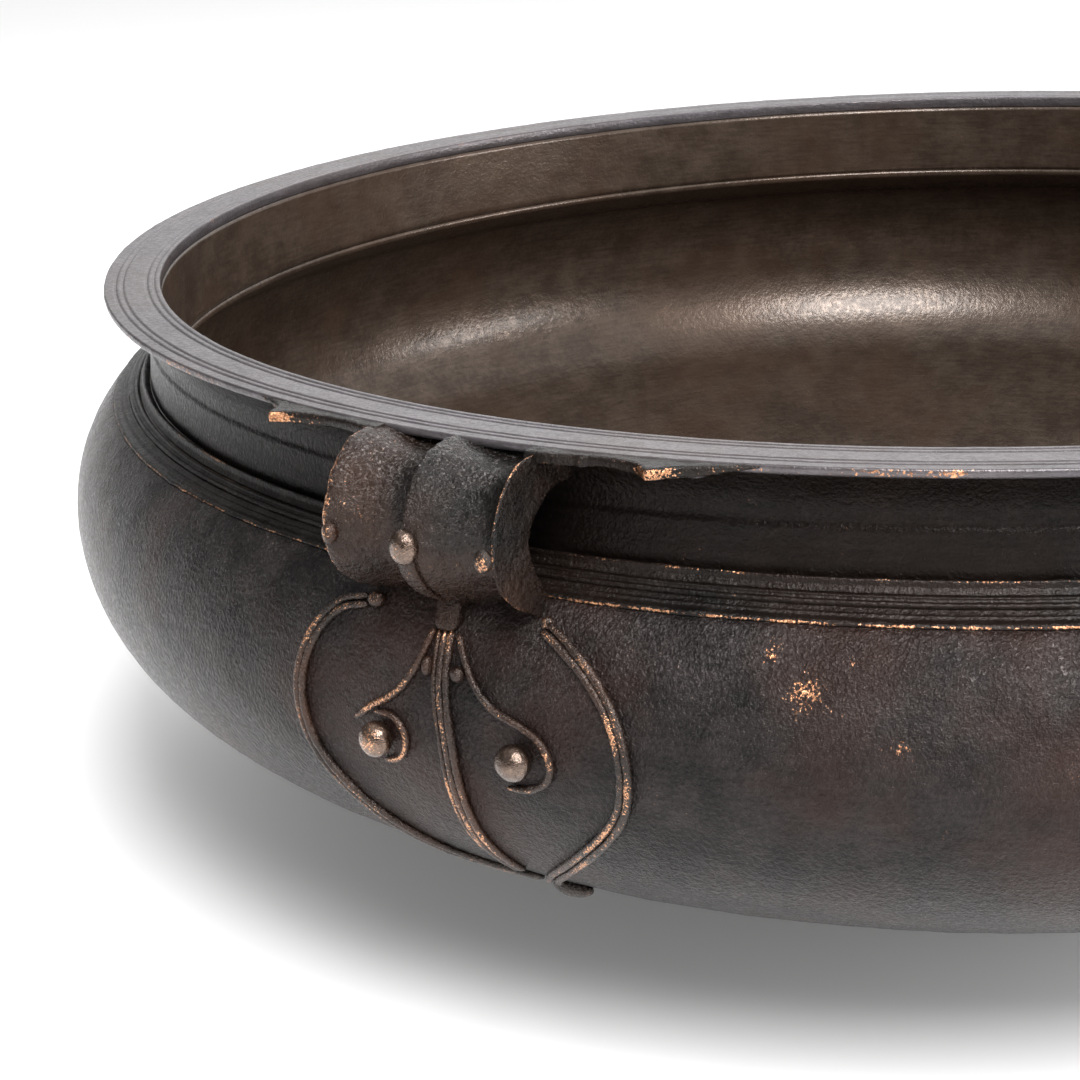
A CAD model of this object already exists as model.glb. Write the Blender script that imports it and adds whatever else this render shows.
import itertools
import math

import bpy
import numpy as np
from mathutils import Matrix, Vector


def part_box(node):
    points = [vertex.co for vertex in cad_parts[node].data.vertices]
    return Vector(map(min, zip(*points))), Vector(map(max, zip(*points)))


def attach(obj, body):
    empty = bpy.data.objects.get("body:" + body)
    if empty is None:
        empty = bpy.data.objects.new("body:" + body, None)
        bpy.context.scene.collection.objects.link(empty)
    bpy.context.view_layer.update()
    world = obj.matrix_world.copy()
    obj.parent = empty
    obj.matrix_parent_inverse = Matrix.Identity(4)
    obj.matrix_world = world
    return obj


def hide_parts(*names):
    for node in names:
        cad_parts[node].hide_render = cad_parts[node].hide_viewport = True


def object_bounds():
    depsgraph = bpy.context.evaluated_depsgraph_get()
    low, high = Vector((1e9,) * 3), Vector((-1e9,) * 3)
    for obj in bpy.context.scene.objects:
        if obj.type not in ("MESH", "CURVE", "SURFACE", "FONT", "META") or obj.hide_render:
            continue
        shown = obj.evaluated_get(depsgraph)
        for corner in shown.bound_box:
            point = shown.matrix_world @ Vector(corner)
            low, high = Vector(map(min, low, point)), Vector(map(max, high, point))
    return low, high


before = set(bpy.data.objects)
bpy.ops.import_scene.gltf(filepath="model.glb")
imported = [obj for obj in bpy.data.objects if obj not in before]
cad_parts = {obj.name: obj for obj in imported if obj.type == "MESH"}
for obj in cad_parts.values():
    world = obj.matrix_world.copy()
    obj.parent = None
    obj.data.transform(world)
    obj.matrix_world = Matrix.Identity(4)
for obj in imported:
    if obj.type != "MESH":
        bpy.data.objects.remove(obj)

# A large two-handled urli of dark, worn bronze. Lengths are design millimetres above the resting face,
# turned into metres by UNIT. Each handle is laid out facing +X, with "side" running to the right of
# someone who stands outside facing it, and is then turned into its place.

CAD_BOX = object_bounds()
RIM_RADIUS = 300.0
RIM_TOP = 193.0
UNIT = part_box("rim_lip")[1].x / RIM_RADIUS
SCENE = bpy.context.scene

# Outside of the bowl: three arcs that run into each other.
BASE_RADIUS = 71.1
FLOOR_ARC = 398.5
TURN_HEIGHT = 65.8
BELLY_RADIUS = 316.7
BELLY_HEIGHT = 114.5
FLANK_ARC = 58.3
SHOULDER_ARC = 52.65
LEDGE_HEIGHT = 152.0
WALL = 5.0
MOUTH_RADIUS = 280.9
NECK_FOOT = 159.5
NECK_TOP = 188.4

# Routes of the wax threads: degrees to the right of the handle's middle, and height.
GARLAND_LEFT = [(-5.2, 144.5), (-6.8, 142.0), (-8.0, 135.0), (-8.7, 124.5), (-8.8, 113.5),
                (-8.2, 100.0), (-7.0, 90.0), (-5.4, 80.5), (-3.4, 72.0), (-1.0, 66.0), (1.8, 61.5)]
GARLAND_RIGHT = [(5.5, 146.2), (6.7, 142.8), (8.2, 137.0), (9.5, 128.5), (10.2, 117.0),
                 (10.1, 105.0), (9.2, 95.5), (7.6, 86.0), (5.8, 77.0), (4.2, 69.5), (3.0, 63.0)]
STEM = [(0.1, 141.6), (0.3, 129.0), (0.7, 114.5), (0.85, 99.5), (1.0, 86.0), (1.4, 76.5), (1.9, 69.0)]
TENDRIL_LEFT = [(-0.6, 141.6), (-1.1, 133.5), (-1.9, 126.5), (-2.8, 122.2), (-3.8, 119.0), (-4.9, 114.4)]
HOOK_LEFT = [(-3.6, 117.6), (-2.5, 117.4), (-1.85, 114.0), (-1.8, 109.4), (-2.3, 105.4), (-3.3, 103.6)]
TENDRIL_RIGHT = [(0.9, 141.6), (1.6, 135.4), (2.4, 129.6), (3.5, 124.9), (4.9, 122.2), (6.0, 118.6),
                 (6.5, 113.0), (6.2, 107.8), (5.2, 104.6), (4.1, 104.2)]
# Distance between the two threads of a pair.
PAIR_GAP = 2.05

# Strap handle: its worn crest line and the finger hole behind it, as radius and height above the rim's
# top face, from where they leave the lip to where they run into the shoulder.
STRAP_HALF = 27.0
STRAP_SECTION = [
    ((290.0, -3.4), (283.6, -11.6)),
    ((295.5, -1.0), (288.5, -12.0)),
    ((300.5, -0.1), (293.0, -12.2)),
    ((306.0, -0.1), (297.0, -13.2)),
    ((311.5, -1.3), (299.6, -15.0)),
    ((316.6, -4.6), (302.4, -17.0)),
    ((320.6, -9.6), (304.6, -19.0)),
    ((323.2, -15.5), (306.0, -21.4)),
    ((324.2, -21.5), (306.4, -24.2)),
    ((323.8, -27.5), (306.0, -27.2)),
    ((321.4, -33.0), (304.8, -30.2)),
    ((316.6, -38.0), (302.8, -33.8)),
    ((310.0, -42.0), (300.2, -38.2)),
    ((302.6, -46.0), (296.0, -42.0)),
]
# Steps between one of these places and the next.
STRAP_STEPS = 9
# Depth of the two flutes along the same way, and how far their bottoms lean to the right.
FLUTE_DEPTHS = [0.0, 1.0, 4.6, 5.4, 6.2, 7.4, 8.4, 9.0, 9.4, 9.4, 9.0, 7.8, 5.6, 3.0]
FLUTE_LEAN = 1.8
# Places across the strap of the faint lines incised in its flutes, and the flute depth from which
# they are at their deepest.
INCISED_LINES = (-18.0, -14.5, 9.0, 12.5)
FULL_FLUTE = 9

# Edges of the two rim leaves: distance to the side of the handle's middle, and radius. Each swells to a
# thorn; past it the left one drops sharply back to the rim and the right one tapers slowly.
LEAF_EDGES = {
    "leaf_left": [(24.0, 304.5), (30.0, 304.0), (36.0, 303.2), (43.0, 303.4), (50.0, 304.6), (56.0, 306.8),
                  (60.2, 309.4), (61.2, 308.8), (62.0, 305.4), (65.0, 302.6), (70.0, 301.0), (78.0, 299.4)],
    "leaf_right": [(24.0, 304.5), (30.0, 304.4), (36.0, 303.6), (43.0, 303.0), (49.0, 303.2), (55.5, 305.2),
                   (60.0, 309.2), (62.6, 307.6), (66.0, 305.2), (72.0, 303.0), (79.0, 301.2), (87.0, 299.4)],
}


# ---- numbers ------------------------------------------------------------------------------------

# Large odd numbers that scramble a cell's place, as hash functions use, and the largest 32-bit number.
CELL_FACTORS = (73856093, 19349663, 83492791)
SEED_FACTOR = 2654435761
MIXERS = ((15, 2246822519), (13, 3266489917))
FULL = 0xFFFFFFFF


def hashed(cells, seed):
    """A steady value from 0 to 1 for each whole-numbered cell."""
    x, y, z = (cells[..., axis] * factor for axis, factor in enumerate(CELL_FACTORS))
    mixed = (x ^ y ^ z ^ (seed * SEED_FACTOR)) & FULL
    for shift, factor in MIXERS:
        mixed = ((mixed ^ (mixed >> shift)) * factor) & FULL
    return (mixed ^ (mixed >> 16)) / float(FULL)


def lumps(points, across, seed):
    """Smooth values from -1 to 1 over space, in lumps about that far across."""
    spots = np.asarray(points, float) / across + 1000.0
    cells = np.floor(spots).astype(np.int64)
    parts = spots - cells
    parts = parts * parts * (3 - 2 * parts)
    value = 0.0
    for corner in itertools.product((0, 1), repeat=3):
        weight = np.prod(np.where(corner, parts, 1 - parts), axis=-1)
        value = value + weight * hashed(cells + np.array(corner), seed)
    return value * 2 - 1


def cast_skin(points, grain=0.1, dents=0.3):
    """The uneven skin of a hand-cast wall: slow waves, small dents and grain."""
    return (lumps(points, 55.0, 3) * dents + lumps(points, 17.0, 5) * dents * 0.45
            + lumps(points, 6.0, 7) * grain + lumps(points, 2.2, 9) * grain)


def evenly(line, count):
    """The same line at count evenly spaced places."""
    line = np.asarray(line, float)
    along = np.concatenate([[0.0], np.cumsum(np.linalg.norm(np.diff(line, axis=0), axis=1))])
    wanted = np.linspace(0, along[-1], count)
    return np.stack([np.interp(wanted, along, column) for column in line.T], axis=1)


def curve_through(points, steps):
    """A smooth line through the points, with the same number of steps between each pair."""
    points = np.asarray(points, float)
    ends = np.vstack([2 * points[0] - points[1], points, 2 * points[-1] - points[-2]])
    part = np.linspace(0, 1, steps, endpoint=False)[:, None]
    runs = [0.5 * (2 * b + (c - a) * part + (2 * a - 5 * b + 4 * c - d) * part ** 2
                   + (3 * b - a - 3 * c + d) * part ** 3)
            for a, b, c, d in zip(ends, ends[1:], ends[2:], ends[3:])]
    return np.vstack(runs + [points[-1:]])


def bell(values, middle, width):
    """1 at the middle, falling to about a third at the width."""
    return np.exp(-((values - middle) / width) ** 2)


def belly_at(height):
    """Outside radius, and outward direction as (out, up), at heights below the ledge."""
    height = np.asarray(height, float)
    low = height < TURN_HEIGHT
    rise = np.where(low, height - FLOOR_ARC, height - BELLY_HEIGHT)
    arc = np.where(low, FLOOR_ARC, np.where(rise >= 0, SHOULDER_ARC, FLANK_ARC))
    across = np.sqrt(np.maximum(arc ** 2 - rise ** 2, 0))
    radius = np.where(low, BASE_RADIUS, BELLY_RADIUS - arc) + across
    return radius, across / arc, rise / arc


def on_belly(route, lift=0.0):
    """Points on the belly for rows of (degrees, height), lifted off it."""
    degrees, height = np.asarray(route, float).T
    radius, out, up = belly_at(height)
    reach = radius + out * lift
    angle = np.radians(degrees)
    return np.stack([reach * np.cos(angle), reach * np.sin(angle), height + up * lift], axis=1)


def off_belly(route):
    """Outward directions at the same places."""
    degrees, height = np.asarray(route, float).T
    _, out, up = belly_at(height)
    angle = np.radians(degrees)
    return np.stack([out * np.cos(angle), out * np.sin(angle), up], axis=1)


def beside(route, gap):
    """The route moved sideways along the belly, to the left of its direction."""
    route = np.asarray(route, float)
    arm = np.radians(belly_at(route[:, 1])[0])
    flat = np.stack([route[:, 0] * arm, route[:, 1]], axis=1)
    along = np.gradient(flat, axis=0)
    left = np.stack([-along[:, 1], along[:, 0]], axis=1)
    flat = flat + left / np.linalg.norm(left, axis=1, keepdims=True) * gap
    return np.stack([flat[:, 0] / np.radians(belly_at(flat[:, 1])[0]), flat[:, 1]], axis=1)


# ---- meshes -------------------------------------------------------------------------------------

def piece(name, points, faces, wear, material, nodes, skin=None):
    """A closed mesh that stands for CAD nodes. wear runs from 0, full patina, to 1, bare metal. skin
    gives how far each point moves along its own normal."""
    mesh = bpy.data.meshes.new(name)
    mesh.from_pydata((points * UNIT).tolist(), [], faces)
    mesh.update()
    mesh.shade_smooth()
    if skin is not None:
        normals = np.zeros(len(points) * 3, np.float32)
        mesh.vertices.foreach_get("normal", normals)
        moved = points + normals.reshape(-1, 3) * np.asarray(skin)[:, None]
        mesh.vertices.foreach_set("co", (moved * UNIT).astype(np.float32).ravel())
        mesh.update()
    layer = mesh.attributes.new("wear", "FLOAT", "POINT")
    layer.data.foreach_set("value", np.clip(wear, 0, 1).astype(np.float32))
    mesh.materials.append(material)
    item = bpy.data.objects.new(name, mesh)
    SCENE.collection.objects.link(item)
    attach(item, "root")
    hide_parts(*nodes)
    return item


def grid_faces(rows, columns, wrap_rows=False):
    """Quads between rows of points, numbered row by row. Each row closes on itself."""
    row = np.arange(rows if wrap_rows else rows - 1)
    a, b = np.meshgrid(row, np.arange(columns), indexing="ij")
    after, beyond = (a + 1) % rows, (b + 1) % columns
    quads = [a * columns + b, a * columns + beyond, after * columns + beyond, after * columns + b]
    return np.stack(quads, axis=-1).reshape(-1, 4).tolist()


def turned(outline, degrees):
    """Rows of points from an outline of (radius, height) set at each of the angles."""
    radius, height = np.asarray(outline, float).T
    angle = np.radians(degrees)
    x = radius[:, None] * np.cos(angle)
    y = radius[:, None] * np.sin(angle)
    z = np.broadcast_to(height[:, None], x.shape)
    return np.stack([x, y, z], axis=-1).reshape(-1, 3)


def round_angles(fine, coarse):
    """Degrees round the bowl, closer together on the 100 degrees about each handle."""
    degrees = []
    for start, end, gap in ((-50, 50, fine), (50, 130, coarse), (130, 230, fine), (230, 310, coarse)):
        count = max(int(round(math.radians(end - start) * BELLY_RADIUS / gap)), 8)
        degrees += np.linspace(start, end, count, endpoint=False).tolist()
    return np.array(degrees)


def ring(name, outline, wear, degrees, material, nodes, skin, rubbing=None):
    """A closed ring turned from a closed outline. rubbing scales the wear from place to place."""
    points = turned(outline, degrees)
    faces = [face[::-1] for face in grid_faces(len(outline), len(degrees), wrap_rows=True)]
    worn = np.repeat(wear, len(degrees))
    if rubbing:
        worn = worn * rubbing(points)
    return piece(name, points, faces, worn, material, nodes, skin(points, worn))


def tube(points, normals, sides, wide, tall):
    """A closed tube of oval section along points. wide lies across the normal and tall along it; both
    give one value per point. It ends in a point at each end."""
    along = np.gradient(points, axis=0)
    along /= np.linalg.norm(along, axis=1, keepdims=True)
    across = np.cross(along, normals)
    across /= np.linalg.norm(across, axis=1, keepdims=True)
    up = np.cross(across, along)
    turn = np.linspace(0, 2 * math.pi, sides, endpoint=False)
    shape = (points[:, None] + across[:, None] * (np.cos(turn)[None, :, None] * wide[:, None, None])
             + up[:, None] * (np.sin(turn)[None, :, None] * tall[:, None, None]))
    rows = len(points)
    faces = grid_faces(rows, sides)
    caps = [points[:1] - along[:1] * wide[0] * 0.5, points[-1:] + along[-1:] * wide[-1] * 0.5]
    first = rows * sides
    last = first + 1
    faces += [(first, (n + 1) % sides, n) for n in range(sides)]
    faces += [(last, (rows - 1) * sides + n, (rows - 1) * sides + (n + 1) % sides) for n in range(sides)]
    facing = np.tile(np.sin(turn), rows)
    return np.vstack([shape.reshape(-1, 3)] + caps), faces, np.concatenate([facing, [0, 0]])


def ball(centre, axes, sizes, rows=18, sides=28):
    """A closed oval body: axes are three directions in rows, sizes its three radii. The first axis
    points from pole to pole."""
    lat = np.linspace(-math.pi / 2, math.pi / 2, rows + 2)[1:-1]
    lon = np.linspace(0, 2 * math.pi, sides, endpoint=False)
    a, b = np.meshgrid(lat, lon, indexing="ij")
    local = np.stack([np.sin(a), np.cos(a) * np.cos(b), np.cos(a) * np.sin(b)], axis=-1).reshape(-1, 3)
    local = np.vstack([local, [[-1, 0, 0], [1, 0, 0]]])
    points = centre + (local * sizes) @ axes
    faces = grid_faces(rows, sides)
    south = rows * sides
    faces += [(south, (n + 1) % sides, n) for n in range(sides)]
    top = (rows - 1) * sides
    faces += [(south + 1, top + n, top + (n + 1) % sides) for n in range(sides)]
    return points, faces, local


# ---- materials ----------------------------------------------------------------------------------

# How far the noise of the turning marks moves on, in metres, for each radian round the bowl.
MARK_STRETCH = 0.028
COAT_ROUGHNESS = 0.15


class Shader:
    """A small helper that adds nodes to a material and joins them."""

    def __init__(self, name):
        self.material = bpy.data.materials.new(name)
        self.material.use_nodes = True
        self.tree = self.material.node_tree
        self.tree.nodes.clear()

    def add(self, kind, inputs=None, **settings):
        made = self.tree.nodes.new(kind)
        for key, value in settings.items():
            setattr(made, key, value)
        for key, value in (inputs or {}).items():
            if isinstance(value, bpy.types.NodeSocket):
                self.tree.links.new(value, made.inputs[key])
            else:
                made.inputs[key].default_value = value
        return made

    def maths(self, operation, a, b=0.0):
        return self.add("ShaderNodeMath", {0: a, 1: b}, operation=operation).outputs[0]

    def spread(self, value, low, high, to_low=0.0, to_high=1.0):
        """value moved smoothly from the range low..high to the range to_low..to_high."""
        inputs = {"Value": value, "From Min": low, "From Max": high, "To Min": to_low, "To Max": to_high}
        return self.add("ShaderNodeMapRange", inputs, interpolation_type="SMOOTHSTEP").outputs[0]

    def noise(self, where, across, detail=3.0, rough=0.55):
        """Soft noise whose lumps are about that many millimetres across."""
        inputs = {"Vector": where, "Scale": 1.0 / (across * UNIT), "Detail": detail, "Roughness": rough}
        return self.add("ShaderNodeTexNoise", inputs).outputs[0]

    def blend(self, share, first, second):
        made = self.add("ShaderNodeMix", data_type="RGBA")
        for socket, value in ((made.inputs[0], share), (made.inputs[6], first), (made.inputs[7], second)):
            if isinstance(value, bpy.types.NodeSocket):
                self.tree.links.new(value, socket)
            else:
                socket.default_value = value
        return made.outputs[2]

    def turning(self, where):
        """Coordinates that run slowly round the bowl and quickly across it, for turning marks."""
        parts = self.add("ShaderNodeSeparateXYZ", {0: where}).outputs
        squares = self.maths("ADD", self.maths("MULTIPLY", parts[0], parts[0]),
                             self.maths("MULTIPLY", parts[1], parts[1]))
        radius = self.maths("SQRT", squares)
        angle = self.maths("ARCTAN2", parts[1], parts[0])
        joined = {0: radius, 1: self.maths("MULTIPLY", angle, MARK_STRETCH), 2: parts[2]}
        return self.add("ShaderNodeCombineXYZ", joined).outputs[0]


def rgb(red, green, blue):
    return (red, green, blue, 1.0)


POLISHED_GREY = rgb(0.34, 0.31, 0.30)
COPPER_DARK = rgb(0.32, 0.13, 0.06)
COPPER_LIGHT = rgb(0.80, 0.42, 0.23)


def bronze(name, dark, light, rust, rust_share=0.35, grain=1.6, depth=0.16, rough=0.42, metal=0.5,
           streaks=0.2, copper_gain=1.0, shine=0.4, wax=0.5, glint=0.0):
    """Dark patinated bronze. dark and light are the patina's two tones, rust the brown bloom on it,
    grain and depth the size and height of the casting grain in millimetres, and streaks the share of
    turning marks. wax is the strength of the clear sheen over it all, and glint the strength of the
    grey polished grains on faces that look up. Bare copper-coloured metal shows where the mesh's wear
    value is high."""
    s = Shader(name)
    where = s.add("ShaderNodeTexCoord").outputs["Object"]
    round_marks = s.turning(where)
    broad = s.noise(where, 60, 4)
    patches = s.noise(where, 14, 5, 0.6)
    speckle = s.noise(where, grain, 3, 0.65)
    fine = s.noise(where, grain * 0.4, 2)
    fleck = s.noise(where, min(grain, 1.1) * 0.8, 2, 0.7)
    lines = s.noise(round_marks, 1.3, 4, 0.7)
    worn = s.add("ShaderNodeAttribute", attribute_name="wear").outputs["Fac"]

    tone = s.maths("ADD", s.maths("MULTIPLY", patches, 0.55), s.maths("MULTIPLY", speckle, 0.45))
    tone = s.maths("ADD", s.maths("MULTIPLY", tone, 1 - streaks), s.maths("MULTIPLY", lines, streaks))
    patina = s.blend(s.spread(tone, 0.38, 0.66), dark, light)
    bloom = s.maths("MULTIPLY", s.spread(broad, 0.45, 0.65), rust_share)
    patina = s.blend(bloom, patina, rust)
    normal = s.add("ShaderNodeNewGeometry").outputs["Normal"]
    climb = s.add("ShaderNodeSeparateXYZ", {0: normal}).outputs["Z"]
    upward = s.spread(climb, 0.05, 0.75)
    glints = s.maths("MULTIPLY", s.spread(fleck, 0.53, 0.66), s.spread(patches, 0.38, 0.58))
    glints = s.maths("MULTIPLY", glints, upward)
    patina = s.blend(s.maths("MULTIPLY", glints, glint), patina, POLISHED_GREY)

    rubbed = s.maths("ADD", s.maths("MULTIPLY", worn, copper_gain),
                     s.maths("MULTIPLY", s.maths("SUBTRACT", fleck, 0.5), 2.2))
    rubbed = s.maths("ADD", rubbed, s.maths("MULTIPLY", s.maths("SUBTRACT", patches, 0.5), 2.0))
    bare = s.spread(rubbed, 0.72, 0.92)
    copper = s.blend(s.spread(fine, 0.35, 0.65), COPPER_DARK, COPPER_LIGHT)

    height = s.maths("ADD", s.spread(speckle, 0.3, 0.7), s.maths("MULTIPLY", fine, 0.6))
    height = s.maths("ADD", height, s.maths("MULTIPLY", lines, streaks * 1.2))
    height = s.maths("ADD", height, s.maths("MULTIPLY", patches, 0.35))
    bump = s.add("ShaderNodeBump", {"Strength": 1.0, "Distance": depth * UNIT, "Height": height})

    polish = s.spread(speckle, 0.3, 0.7, rough + 0.10, rough - 0.06)
    surface = s.add("ShaderNodeBsdfPrincipled", {
        "Base Color": s.blend(bare, patina, copper),
        "Metallic": s.spread(bare, 0.0, 1.0, metal, 1.0),
        "Roughness": polish,
        "Specular IOR Level": shine,
        "Coat Weight": wax,
        "Coat Roughness": COAT_ROUGHNESS,
        "Coat Normal": bump.outputs[0],
        "Normal": bump.outputs[0],
    })
    end = s.add("ShaderNodeOutputMaterial")
    s.tree.links.new(surface.outputs[0], end.inputs[0])
    return s.material


MATERIALS = {
    "belly": bronze("patina_belly", rgb(0.006, 0.0046, 0.0044), rgb(0.027, 0.0215, 0.0205),
                    rgb(0.036, 0.016, 0.011), grain=1.3, streaks=0.25, depth=0.24, rough=0.27,
                    rust_share=0.5, metal=0.4, shine=0.14, wax=0.16, glint=0.14),
    "inside": bronze("patina_inside", rgb(0.044, 0.028, 0.019), rgb(0.100, 0.072, 0.054),
                     rgb(0.085, 0.046, 0.028), grain=2.4, depth=0.05, rough=0.33, streaks=0.3, metal=0.5,
                     wax=0.3),
    "neck": bronze("patina_neck", rgb(0.003, 0.0025, 0.002), rgb(0.012, 0.009, 0.008),
                   rgb(0.012, 0.006, 0.004), grain=1.4, depth=0.14, rough=0.33, streaks=0.45, metal=0.4,
                   shine=0.10, wax=0.08, glint=0.05),
    "lip": bronze("patina_lip", rgb(0.068, 0.060, 0.064), rgb(0.130, 0.117, 0.126),
                  rgb(0.095, 0.072, 0.066), depth=0.08, rough=0.36, metal=0.5, streaks=0.5, wax=0.2),
    "ridge": bronze("patina_ridge", rgb(0.005, 0.004, 0.0035), rgb(0.018, 0.015, 0.013),
                    rgb(0.024, 0.011, 0.007), grain=1.2, depth=0.14, rough=0.33, streaks=0.4,
                    metal=0.4, copper_gain=0.95, shine=0.14, wax=0.18, glint=0.05),
    "strap": bronze("patina_strap", rgb(0.005, 0.004, 0.0035), rgb(0.022, 0.018, 0.016),
                    rgb(0.045, 0.018, 0.009), grain=1.2, depth=0.24, rough=0.20, streaks=0.05,
                    rust_share=0.55, metal=0.45, shine=0.18, wax=0.26, glint=0.30),
    "thread": bronze("patina_thread", rgb(0.010, 0.0065, 0.005), rgb(0.042, 0.027, 0.020),
                     rgb(0.066, 0.026, 0.013), grain=0.8, depth=0.12, rough=0.24, streaks=0.0,
                     rust_share=0.6, copper_gain=0.84, shine=0.30, wax=0.4, glint=0.4),
    "drop": bronze("patina_drop", rgb(0.030, 0.018, 0.012), rgb(0.20, 0.14, 0.105),
                   rgb(0.16, 0.075, 0.035), grain=1.0, depth=0.08, rough=0.18, metal=0.9, streaks=0.0,
                   copper_gain=0.62, shine=0.5, wax=1.0, glint=0.05),
}


# ---- the bowl -----------------------------------------------------------------------------------

# Spots on the belly rubbed to copper: degrees round the bowl, height, half width, half height, strength.
RUBBED_SPOTS = [(198.9, 138.3, 8.5, 9.0, 0.90), (197.0, 145.7, 2.4, 2.4, 0.9), (200.8, 144.6, 6.0, 3.2, 0.75),
                (204.9, 104.2, 2.2, 7.5, 0.75), (203.0, 127.0, 9.0, 4.5, 0.42)]


def rubbed_spots(points):
    """Wear from the spots, strongest in the middle of each."""
    degrees = np.degrees(np.arctan2(points[:, 1], points[:, 0])) % 360
    worn = np.zeros(len(points))
    for angle, height, wide, tall, strength in RUBBED_SPOTS:
        across = np.radians(degrees - angle) * np.hypot(points[:, 0], points[:, 1]) / wide
        worn = np.maximum(worn, strength * bell(np.hypot(across, (points[:, 2] - height) / tall), 0.0, 0.7))
    return worn


def belly_shell():
    """The cast vessel from its foot up to the ledge, and its floor and wall inside."""
    heights = np.concatenate([np.linspace(0, 6, 12, endpoint=False),
                              np.linspace(6, TURN_HEIGHT, 44, endpoint=False),
                              np.linspace(TURN_HEIGHT, LEDGE_HEIGHT, 52)])
    outer = np.stack([belly_at(heights)[0], heights], axis=1)
    foot = np.array([(0.0, 0.0), (20.0, 0.0), (50.0, 0.0), (66.0, 0.0)])
    seat = np.array([(298.6, LEDGE_HEIGHT), (298.0, LEDGE_HEIGHT), (292.8, 155.6), (287.4, 159.4),
                     (286.4, NECK_FOOT), (281.6, NECK_FOOT), (MOUTH_RADIUS, 158.8), (MOUTH_RADIUS, 157.2)])
    ledge = np.array([(282.0, 156.4), (289.0, 152.2), (296.4, 148.2)])
    high = np.linspace(147.8, 70.0, 30)
    arc = np.where(high > BELLY_HEIGHT, SHOULDER_ARC, FLANK_ARC)
    reach = np.sqrt(np.maximum((arc - WALL) ** 2 - (high - BELLY_HEIGHT) ** 2, 0))
    inner = np.stack([BELLY_RADIUS - arc + reach, high], axis=1)
    low = np.linspace(284.0, BASE_RADIUS, 40)
    dish = FLOOR_ARC - np.sqrt((FLOOR_ARC - WALL) ** 2 - (low - BASE_RADIUS) ** 2)
    bowl_floor = np.stack([low, dish], axis=1)
    middle = np.array([(50.0, WALL), (20.0, WALL), (0.0, WALL)])
    outline = np.vstack([foot, outer, seat, ledge, inner, bowl_floor, middle])
    degrees = round_angles(3.0, 6.0)
    count = len(degrees)
    rows = len(outline) - 2
    points = np.vstack([turned(outline[1:-1], degrees), [[0, 0, 0], [0, 0, WALL]]])
    faces = grid_faces(rows, count)
    bottom = rows * count
    top = bottom + 1
    faces += [(bottom, (n + 1) % count, n) for n in range(count)]
    faces += [(top, (rows - 1) * count + n, (rows - 1) * count + (n + 1) % count) for n in range(count)]
    outside_rows = len(foot) + len(outer) - 1
    place = np.concatenate([np.repeat(np.arange(rows), count), [0, rows]])
    outside = place < outside_rows
    rest = np.clip(points[:, 2] / 4.0, 0, 1)
    skin = np.where(outside, cast_skin(points, 0.10, 0.35) * rest, cast_skin(points, 0.01, 0.10))
    worn = np.where(outside, rubbed_spots(points), 0.0)
    item = piece("belly_shell_cast", points, faces, worn, MATERIALS["belly"],
                 ["floor_dish", "belly_flank", "belly_shoulder"], skin)
    item.data.materials.append(MATERIALS["inside"])
    for polygon in item.data.polygons:
        polygon.material_index = 0 if outside[polygon.vertices[0]] else 1


def neck_collar():
    """The short neck: a cove below the lip, a crease, and a nearly upright wall."""
    cove = []
    cove_top = np.array([291.0, NECK_TOP])
    crease = np.array([285.7, 173.8])
    hollow = np.array([1.75, 0.6])
    for part in np.linspace(0, 1, 18):
        cove.append(cove_top + (crease - cove_top) * part - hollow * math.sin(math.pi * part))
    wall = evenly([(285.9, 173.3), (286.3, 172.6), (286.5, 168.0), (287.0, 163.0), (287.4, NECK_FOOT)], 18)
    inner = evenly([(281.4, NECK_FOOT), (MOUTH_RADIUS, 160.2), (MOUTH_RADIUS, NECK_TOP)], 18)
    outline = np.vstack([inner, cove, wall])
    wear = np.zeros(len(outline))
    item = ring("neck_collar_cast", outline, wear, round_angles(1.7, 4.6), MATERIALS["neck"],
                ["neck_collar"], lambda points, worn: cast_skin(points, 0.05, 0.15))
    item.data.materials.append(MATERIALS["inside"])
    for polygon in item.data.polygons:
        radius = math.hypot(polygon.center.x, polygon.center.y)
        polygon.material_index = 1 if radius < (MOUTH_RADIUS + 1.5) * UNIT else 0


def rim_lip():
    """The flat lip with two pairs of turned lines, a nicked outer edge and a sloping underside."""
    top = np.linspace(281.5, 299.5, 70)
    lines = sum(bell(top, middle, 0.42) for middle in (283.1, 285.5, 293.6, 296.0))
    face = np.stack([top, RIM_TOP - 0.5 * lines], axis=1)
    edge = np.array([(299.85, 192.75), (RIM_RADIUS, 192.3), (RIM_RADIUS, 191.6), (299.9, 191.0),
                     (299.5, 190.6)])
    under = evenly([(299.0, 190.4), (291.0, NECK_TOP), (281.3, NECK_TOP)], 20)
    inner = np.array([(MOUTH_RADIUS, 188.9), (MOUTH_RADIUS, 190.6), (MOUTH_RADIUS, 192.4),
                      (281.1, 192.85)])
    outline = np.vstack([face, edge, under, inner])[::-1]
    radius, height = outline.T
    outer_edge = 0.75 * bell(radius, 300.2, 0.6) * (height > 190.5)
    wear = outer_edge + 0.3 * bell(radius, 281.0, 0.35) * (height > 192)

    def skin(points, worn):
        nicks = np.clip(lumps(points, 4.5, 21) - 0.35, 0, 1) * worn * -1.3
        return cast_skin(points, 0.03, 0.12) + nicks

    def rubbing(points):
        # The leaves cover the edge beside the handles, so the rubbing starts about where they end.
        clear = np.clip((np.abs(points[:, 1]) - 78.0) / 10.0, 0, 1)
        return clear * (0.62 + 0.5 * lumps(points, 38.0, 23))

    ring("rim_lip_cast", outline, wear, round_angles(1.6, 3.6), MATERIALS["lip"], ["rim_lip"], skin,
         rubbing)


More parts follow.
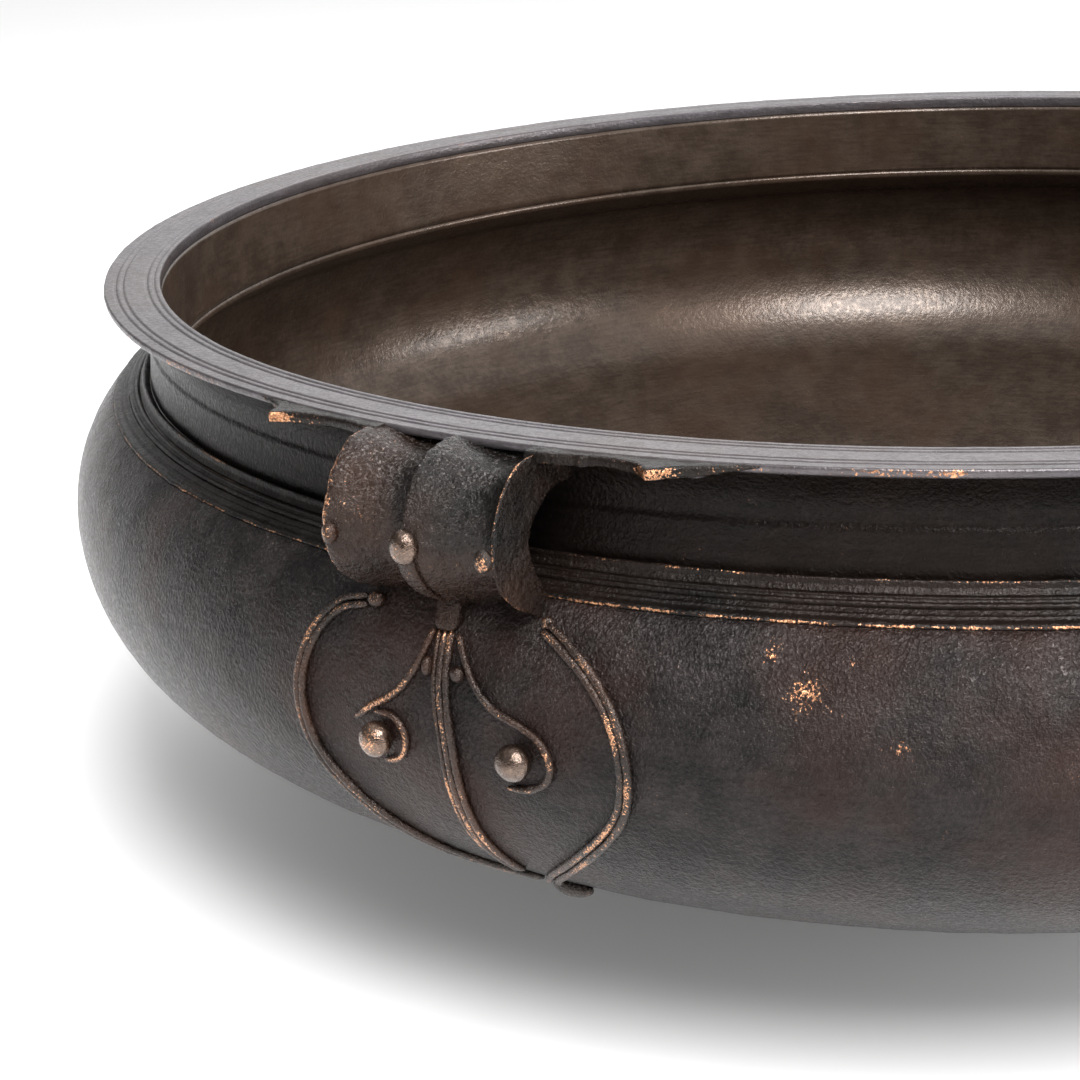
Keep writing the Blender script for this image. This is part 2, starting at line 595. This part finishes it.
def shoulder_rings():
    """Three ridges on the slope between the ledge and the neck, their edges rubbed bright."""
    slope = np.array([(298.0, LEDGE_HEIGHT), (287.4, NECK_FOOT)])
    down = (slope[0] - slope[1]) / np.linalg.norm(slope[0] - slope[1])
    out = np.array([-down[1], down[0]])
    # For each: where it starts and ends down the slope, its rubbed line and how bright that is, and its
    # crown as places down the slope and heights off it.
    layouts = {
        "shoulder_ring_lower": (0.0, 4.3, -1.6, 0.78, [
            (-1.5, 1.0), (-1.9, 1.5), (-1.6, 2.0), (-0.6, 2.1), (0.9, 1.4), (2.0, 1.5), (2.6, 1.1),
            (4.3, 1.2)]),
        "shoulder_ring_middle": (4.4, 8.5, 5.2, 0.25, [
            (4.5, 1.0), (4.9, 1.7), (5.6, 1.8), (6.2, 1.2), (6.9, 1.3), (7.4, 1.7), (8.1, 1.4)]),
        "shoulder_ring_upper": (8.6, 12.9, 11.7, 0.55, [
            (8.7, 0.9), (9.3, 1.2), (10.4, 1.5), (11.2, 2.3), (11.8, 2.6), (12.3, 2.2), (12.6, 1.0)]),
    }

    def skin(points, worn):
        chips = np.clip(lumps(points, 5.0, 31) - 0.3, 0, 1) * worn * -1.1
        return cast_skin(points, 0.10, 0.12) + chips

    for name, (start, end, rubbed, strength, crown) in layouts.items():
        crown = curve_through(crown, 5)
        foot = np.array([(end, -0.8), (start, -0.8)])
        local = np.vstack([crown, foot])
        outline = slope[0] - local[:, :1] * down + local[:, 1:] * out
        wear = strength * bell(local[:, 0], rubbed, 0.42) * (local[:, 1] > 0.8)
        ring(name + "_cast", outline, wear, round_angles(1.5, 4.6), MATERIALS["ridge"], [name], skin)


# ---- a handle -----------------------------------------------------------------------------------

def placed(points, turn):
    """Points of a handle laid out on +X, turned into place."""
    c, s = math.cos(turn), math.sin(turn)
    return points @ np.array([[c, s, 0], [-s, c, 0], [0, 0, 1]])


def flute(side):
    """How far into the nearest flute a place across the strap lies: 0 on a crest and 1 at the bottom.
    Each flute falls away slowly and then climbs steeply to the next crest."""
    part = (np.mod(side + STRAP_HALF, STRAP_HALF) / STRAP_HALF) ** FLUTE_LEAN
    return np.clip(1 - (2 * part - 1) ** 2, 0, 1) ** 0.85


def strap(side, turn):
    """The strap: a curved band swept from the lip to the shoulder, open inside for a finger, with a
    worn crest at each edge and one in the middle."""
    pairs = np.array([[*crest, *hole] for crest, hole in STRAP_SECTION])
    ways = curve_through(np.column_stack([pairs, FLUTE_DEPTHS]), STRAP_STEPS)
    across = np.linspace(-STRAP_HALF + 0.5, STRAP_HALF - 0.5, 105)
    back = np.linspace(STRAP_HALF - 0.8, -STRAP_HALF + 0.8, 28)
    bow = np.linspace(0, 1, 24)
    right = np.full(len(bow), STRAP_HALF)
    rows = []
    worn = []
    for crest_r, crest_z, hole_r, hole_z, depth in ways:
        crest = np.array([crest_r, crest_z])
        hole = np.array([hole_r, hole_z])
        thick = np.linalg.norm(hole - crest)
        inward = (hole - crest) / thick
        front = np.clip(flute(across) * depth, 0, thick - 3.0)
        front = front + 0.55 * (bell(across, -STRAP_HALF, 0.8) + bell(across, STRAP_HALF, 0.8))
        front = front - 0.15 * bell(across, 0.0, 0.8)
        incised = sum(bell(across, line, 0.45) for line in INCISED_LINES)
        front = front + 0.45 * incised * min(depth / FULL_FLUTE, 1) ** 4
        face = 1.1 + bow * (thick - 2.0)
        ins = np.concatenate([front, face, np.full(len(back), thick), face[::-1]])
        outs = np.concatenate([across, right, back, -right])
        spots = crest + inward * ins[:, None]
        rows.append(np.column_stack([spots[:, 0], outs, spots[:, 1] + RIM_TOP]))
        crest_wear = (bell(across, -STRAP_HALF, 1.4) + bell(across, STRAP_HALF, 1.6)
                      + 0.95 * bell(across, -1.4, 1.4)) * 1.15
        side_wear = bell(face, 0.8, 0.9)
        back_wear = 0.3 * (bell(back, STRAP_HALF, 1.0) + bell(back, -STRAP_HALF, 1.0))
        worn.append(np.concatenate([crest_wear, side_wear * 0.8, back_wear, side_wear[::-1] * 0.8]))
    count = len(rows[0])
    points = np.vstack(rows)
    faces = [face[::-1] for face in grid_faces(len(rows), count)]
    faces.append(list(range(count)))
    faces.append(list(range(len(points) - count, len(points)))[::-1])
    keep_out = np.minimum(points[:, 2], RIM_TOP - 1.0)
    points[:, 2] = np.where(np.hypot(points[:, 0], points[:, 1]) < RIM_RADIUS - 3, keep_out, points[:, 2])
    skin = cast_skin(points, 0.22, 0.35) + 0.12 * lumps(points, 1.2, 41)
    piece(f"{side}_strap_cast", placed(points, turn), faces, np.concatenate(worn),
          MATERIALS["strap"], [f"{side}_strap"], skin)


def dome(side, turn, name, axis_tilt, sizes, material, wear_top=1.0, seed=51, block=0.0):
    """A rounded drop of metal centred in its CAD box. The first size is how far it stands out, and
    block squares it up, from 0 for an oval to 1 for a block with fluted sides."""
    low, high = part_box(f"{side}_{name}")
    centre = np.array((low + high) / 2) / UNIT
    flat = placed(centre[None], -turn)[0]
    angle = math.atan2(flat[1], flat[0])
    out = np.array([math.cos(angle) * math.cos(axis_tilt), math.sin(angle) * math.cos(axis_tilt),
                    math.sin(axis_tilt)])
    across = np.array([-math.sin(angle), math.cos(angle), 0.0])
    along = np.cross(out, across)
    axes = np.array([out, across, along])
    points, faces, local = ball(flat, axes, np.array(sizes))
    if block:
        squared = np.sign(local) * np.abs(local) ** (1 - 0.45 * block)
        squared[:, 0] *= 1 - 0.16 * block * np.cos(local[:, 1] * 11.0) ** 2
        points = flat + (squared * sizes) @ axes
    wear = wear_top * np.clip(local[:, 0] * 0.9 + 0.1, 0, 1)
    skin = 0.16 * lumps(points, 2.2, seed) + 0.04 * lumps(points, 0.9, seed + 1)
    piece(f"{side}_{name}_cast", placed(points, turn), faces, wear, MATERIALS[material],
          [f"{side}_{name}"], skin)


def studs_and_tongue(side, turn):
    """A stud on each crest, and the low tongue that runs down the middle crest below its stud."""
    dome(side, turn, "stud_left", 0.0, (2.2, 2.3, 3.0), "thread", 1.0, 52)
    dome(side, turn, "stud_middle", 0.0, (3.5, 4.2, 5.0), "drop", 0.9, 53)
    dome(side, turn, "stud_right", 0.0, (2.2, 2.5, 3.2), "thread", 1.1, 54)
    crest = curve_through([first for first, _ in STRAP_SECTION], STRAP_STEPS)
    below_stud = slice(76, 112)
    count = 40
    run = evenly(crest[below_stud], count)
    points = np.column_stack([run[:, 0], np.zeros(count), run[:, 1] + RIM_TOP])
    outward = np.column_stack([np.gradient(run[:, 1]) * -1, np.zeros(count), np.gradient(run[:, 0])])
    outward /= np.linalg.norm(outward, axis=1, keepdims=True)
    taper = np.sin(np.linspace(0.25, 1.0, count) * math.pi) ** 0.5 + 0.2
    spots, faces, facing = tube(points - outward * 0.1, outward, 14, 2.5 * taper, 0.85 * taper)
    skin = 0.12 * lumps(spots, 1.5, 61)
    piece(f"{side}_tongue_cast", placed(spots, turn), faces, 0.3 * np.clip(facing, 0, 1),
          MATERIALS["strap"], [f"{side}_tongue"], skin)


def leaf(side, turn, name, hand):
    """A thin leaf along the lip that ends in a thorn, its top level with the lip."""
    line = curve_through(LEAF_EDGES[name], 10)
    top = RIM_TOP - 0.12
    around = 36
    rows = []
    worn = []
    for place, edge in line:
        body = np.clip((edge - 298.5) / 5.0, 0.1, 1.0)
        thick = 3.4 * body
        radii = [296.0, 298.0, edge - 1.2, edge - 0.3, edge, edge - 0.2, edge - 1.6, 298.0, 296.0]
        drops = [0.8, 0.2, 0.15, 0.5, thick * 0.45, thick * 0.9, thick + 0.1, thick + 0.2, thick]
        loop = evenly(np.column_stack([radii, drops]), around)
        rows.append(np.column_stack([np.sqrt(np.maximum(loop[:, 0] ** 2 - place ** 2, 1)),
                                     np.full(around, place * hand), top - loop[:, 1]]))
        tip = bell(place, 60.0, 5.0)
        worn.append(bell(loop[:, 0], edge, 0.8) * (0.35 + 0.9 * tip))
    points = np.vstack(rows)
    faces = grid_faces(len(rows), around)
    faces.append(list(range(around))[::-1])
    faces.append(list(range(len(points) - around, len(points))))
    if hand > 0:
        faces = [face[::-1] for face in faces]
    skin = cast_skin(points, 0.12, 0.25) + np.clip(lumps(points, 3.0, 71) - 0.4, 0, 1) * -0.8
    item = piece(f"{side}_{name}_cast", placed(points, turn), faces, np.concatenate(worn),
                 MATERIALS["ridge"], [f"{side}_{name}"], skin)
    item.data.materials.append(MATERIALS["lip"])
    for polygon in item.data.polygons:
        polygon.material_index = 1 if polygon.normal.z > 0.7 else 0


def thread(side, turn, name, route, radius, seed):
    """A rolled wax thread laid on the belly, a little uneven and rubbed along its top."""
    line = curve_through(route, 14)
    count = max(int(np.linalg.norm(np.diff(on_belly(line), axis=0), axis=1).sum() / 0.55), 12)
    line = evenly(line, count)
    points = on_belly(line, radius * 0.55)
    swell = 1 + 0.10 * lumps(points, 7.0, seed) + 0.07 * lumps(points, 2.5, seed + 1)
    ends = np.clip(np.minimum(np.arange(count), np.arange(count)[::-1]) / 4.0 + 0.55, 0, 1)
    spots, faces, facing = tube(points, off_belly(line), 14, radius * swell * ends, radius * swell * ends)
    skin = 0.09 * lumps(spots, 1.1, seed + 2)
    rubbed = 0.72 + 0.4 * lumps(spots, 9.0, seed + 3)
    piece(f"{side}_{name}_cast", placed(spots, turn), faces, rubbed * np.clip(facing, 0, 1) ** 1.5,
          MATERIALS["thread"], [f"{side}_{name}"], skin)


def ornament(side, turn):
    """The wax-thread ornament below a handle: two garlands, a stem, two tendrils and their drops."""
    near = PAIR_GAP / 2
    routes = {
        "garland_left_outer": (beside(GARLAND_LEFT, -near), 1.2),
        "garland_left_inner": (beside(GARLAND_LEFT, near), 1.15),
        "garland_right_outer": (beside(GARLAND_RIGHT, near), 1.25),
        "garland_right_inner": (beside(GARLAND_RIGHT, -near), 1.15),
        "stem_left": (beside(STEM, -PAIR_GAP), 0.75),
        "stem_middle": (STEM, 1.1),
        "stem_right": (beside(STEM, PAIR_GAP), 1.1),
        "tendril_left": (TENDRIL_LEFT, 1.1),
        "hook_left": (HOOK_LEFT, 0.95),
        "tendril_right": (TENDRIL_RIGHT, 1.1),
    }
    for number, (name, (route, radius)) in enumerate(routes.items()):
        thread(side, turn, name, route, radius, 100 + 7 * number)
    dome(side, turn, "pearl_left", 0.15, (4.2, 4.9, 5.0), "drop", 0.8, 81)
    dome(side, turn, "pearl_right", 0.15, (4.2, 5.0, 5.0), "drop", 0.6, 83)
    dome(side, turn, "bud_left", 0.35, (1.9, 1.5, 2.7), "thread", 0.5, 85)
    dome(side, turn, "bud_right", 0.35, (1.9, 2.1, 2.2), "thread", 0.5, 87)
    dome(side, turn, "knot_left", 0.5, (2.2, 2.6, 2.3), "thread", 0.9, 89)
    dome(side, turn, "knot_right", 0.5, (1.9, 2.0, 2.2), "thread", 0.6, 91)
    dome(side, turn, "stem_cap", 0.35, (2.7, 3.9, 5.6), "strap", 0.15, 93, 1.0)
    dome(side, turn, "finial", -0.8, (2.6, 6.4, 2.8), "thread", 0.3, 95)


def handle(side):
    """A whole handle with its ornament, laid out on +X and turned to where the CAD strap stands."""
    low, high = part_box(f"{side}_strap")
    middle = (low + high) / 2
    turn = math.atan2(middle.y, middle.x)
    strap(side, turn)
    studs_and_tongue(side, turn)
    leaf(side, turn, "leaf_left", -1)
    leaf(side, turn, "leaf_right", 1)
    ornament(side, turn)


# ---- the studio ---------------------------------------------------------------------------------

# How far the floor lies below the resting face, and a faint glow of its own. The glow stands in for light
# from walls that aren't modelled.
FLOOR_CLEARANCE = 0.0004
FLOOR_GLOW = 0.125
# Directions of the room's dim sides, low down behind the camera and to its left. As the cosine of the
# angle to one of them goes from 0.45 to 0.94, the room's light goes from 1.0 to 0.12.
DIM_SIDES = ((-0.88, -0.44, 0.17), (-0.25, 0.96, 0.09))
DIM_RANGE = (0.45, 0.94, 1.0, 0.12)
# Square lamps: name, degrees round the bowl, distance from its axis, height, size and power. All are
# aimed at the bowl's axis at one height.
LAMPS = [
    ("box_front", 222.0, 1.6, 1.75, 0.95, 66.0),
    ("box_right", 290.0, 1.8, 0.42, 0.8, 26.0),
    ("box_behind", 30.0, 1.2, 1.5, 1.2, 12.0),
]
AIM_HEIGHT = 0.1


def pale_floor():
    """A wide matt floor under the bowl."""
    size = 12.0
    mesh = bpy.data.meshes.new("floor")
    mesh.from_pydata([(-size, -size, 0), (size, -size, 0), (size, size, 0), (-size, size, 0)], [],
                     [(0, 1, 2, 3)])
    ground = bpy.data.objects.new("studio_floor", mesh)
    SCENE.collection.objects.link(ground)
    ground.location.z = CAD_BOX[0].z - FLOOR_CLEARANCE
    paint = bpy.data.materials.new("floor_paper")
    paint.use_nodes = True
    shade = paint.node_tree.nodes["Principled BSDF"].inputs
    shade["Base Color"].default_value = rgb(0.94, 0.94, 0.94)
    shade["Roughness"].default_value = 0.9
    shade["Emission Color"].default_value = rgb(1.0, 1.0, 1.0)
    shade["Emission Strength"].default_value = FLOOR_GLOW
    mesh.materials.append(paint)


def white_room():
    """A white room that is dim low down on two sides, shown with plain tones."""
    world = bpy.data.worlds.new("white_room")
    world.use_nodes = True
    tree = world.node_tree
    way = tree.nodes.new("ShaderNodeTexCoord").outputs["Generated"]
    bright = None
    for side in DIM_SIDES:
        facing = tree.nodes.new("ShaderNodeVectorMath")
        facing.operation = "DOT_PRODUCT"
        facing.inputs[1].default_value = side
        dim = tree.nodes.new("ShaderNodeMapRange")
        dim.interpolation_type = "SMOOTHSTEP"
        for socket, value in zip(list(dim.inputs)[1:5], DIM_RANGE):
            socket.default_value = value
        tree.links.new(way, facing.inputs[0])
        tree.links.new(facing.outputs["Value"], dim.inputs[0])
        both = tree.nodes.new("ShaderNodeMath")
        both.operation = "MULTIPLY"
        both.inputs[0].default_value = 1.0
        if bright is not None:
            tree.links.new(bright, both.inputs[0])
        tree.links.new(dim.outputs[0], both.inputs[1])
        bright = both.outputs[0]
    shade = tree.nodes["Background"].inputs
    shade["Color"].default_value = rgb(1.0, 1.0, 1.0)
    tree.links.new(bright, shade["Strength"])
    SCENE.world = world
    SCENE.view_settings.view_transform = "Standard"
    SCENE.view_settings.look = "None"


def soft_box(name, degrees, reach, height, size, power):
    """A square lamp that lights the bowl and isn't seen by the camera."""
    lamp = bpy.data.lights.new(name, "AREA")
    lamp.shape = "SQUARE"
    lamp.size = size
    lamp.energy = power
    item = bpy.data.objects.new(name, lamp)
    angle = math.radians(degrees)
    item.location = (reach * math.cos(angle), reach * math.sin(angle), height)
    aim = Vector((0, 0, AIM_HEIGHT)) - item.location
    item.rotation_euler = aim.to_track_quat("-Z", "Y").to_euler()
    item.visible_camera = False
    SCENE.collection.objects.link(item)


# The camera's place round the bowl, its distance from the bowl's axis and its height over the rim, how
# it is turned away from the axis, downwards and about its own line of sight, and its lens and sensor.
CAMERA_DEGREES = 205.15
CAMERA_REACH = 0.8561
CAMERA_RISE = 0.1731
CAMERA_YAW = -10.324
CAMERA_PITCH = 18.756
CAMERA_ROLL = -2.79
LENS_MM = 80.0
SENSOR_MM = 36.0


def camera():
    """The view from outside the west handle, a little above the rim."""
    yaw, pitch, roll = (math.radians(v) for v in (CAMERA_YAW, CAMERA_PITCH, CAMERA_ROLL))
    ahead = Vector((math.sin(yaw) * math.cos(pitch), math.cos(yaw) * math.cos(pitch), -math.sin(pitch)))
    right = Vector((math.cos(yaw), -math.sin(yaw), 0))
    up = right.cross(ahead)
    across = right * math.cos(roll) + up * math.sin(roll)
    above = up * math.cos(roll) - right * math.sin(roll)
    local = Matrix((across, above, -ahead)).transposed()
    turn = Matrix.Rotation(math.radians(CAMERA_DEGREES - 270), 3, "Z")
    lens = bpy.data.cameras.new("camera")
    lens.lens = LENS_MM
    lens.sensor_width = SENSOR_MM
    lens.clip_end = 50.0
    item = bpy.data.objects.new("camera", lens)
    spot = turn @ Vector((0, -CAMERA_REACH, 0)) + Vector((0, 0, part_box("rim_lip")[1].z + CAMERA_RISE))
    item.matrix_world = Matrix.Translation(spot) @ (turn @ local).to_4x4()
    SCENE.collection.objects.link(item)
    SCENE.camera = item


belly_shell()
neck_collar()
rim_lip()
shoulder_rings()
handle("east")
handle("west")
pale_floor()
white_room()
for lamp_values in LAMPS:
    soft_box(*lamp_values)
camera()
